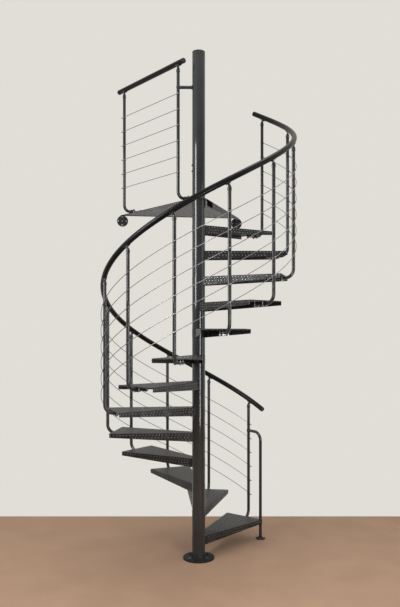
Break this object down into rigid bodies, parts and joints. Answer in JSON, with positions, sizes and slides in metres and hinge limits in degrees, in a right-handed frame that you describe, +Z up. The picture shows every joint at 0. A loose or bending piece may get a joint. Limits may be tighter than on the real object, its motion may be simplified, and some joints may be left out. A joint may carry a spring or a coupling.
{
  "type": "spiral staircase",
  "caption": "Steel spiral staircase with folded sheet treads around a centre pole, wire-filled balustrade, round handrail and a guarded landing.",
  "frame": {"origin": "on the floor, on the axis of the pole, at the underside of the base plate", "axes": "+Z up along the pole, +Y roughly towards the floor that the landing serves, +X to the right of someone facing it; the stair climbs counter-clockwise seen from above"},
  "size_m": [1.4999, 1.6107, 3.91],
  "materials": {
    "powder_coated_steel": "anthracite powder coat, semi-gloss",
    "anti_slip_sheet": "anthracite powder coat over embossed anti-slip sheet",
    "black_handrail": "black satin",
    "black_plastic": "black moulded plastic",
    "bright_wire": "bright drawn steel"
  },
  "bodies": {
    "root": {"base_plate": "powder_coated_steel", "guard_posts": "powder_coated_steel", "guard_rail": "black_handrail", "guard_strut": "powder_coated_steel", "guard_wires": "bright_wire", "handrail": "black_handrail", "infill_wires": "bright_wire", "landing_platform": "anti_slip_sheet", "pole": "powder_coated_steel", "pole_cap": "black_plastic", "post_01": "powder_coated_steel", "post_02": "powder_coated_steel", "post_03": "powder_coated_steel", "post_04": "powder_coated_steel", "post_05": "powder_coated_steel", "post_06": "powder_coated_steel", "post_07": "powder_coated_steel", "post_08": "powder_coated_steel", "post_09": "powder_coated_steel", "post_10": "powder_coated_steel", "post_11": "powder_coated_steel", "post_12": "powder_coated_steel", "post_13": "powder_coated_steel", "post_clamps": "powder_coated_steel", "rail_brackets": "powder_coated_steel", "rail_end_caps": "black_plastic", "slab_flanges": "powder_coated_steel", "start_brace": "powder_coated_steel", "start_foot": "powder_coated_steel", "tread_01": "anti_slip_sheet", "tread_02": "anti_slip_sheet", "tread_03": "anti_slip_sheet", "tread_04": "anti_slip_sheet", "tread_05": "anti_slip_sheet", "tread_06": "anti_slip_sheet", "tread_07": "anti_slip_sheet", "tread_08": "anti_slip_sheet", "tread_09": "anti_slip_sheet", "tread_10": "anti_slip_sheet", "tread_11": "anti_slip_sheet", "tread_12": "anti_slip_sheet", "tread_13": "anti_slip_sheet"}
  },
  "joints": []
}
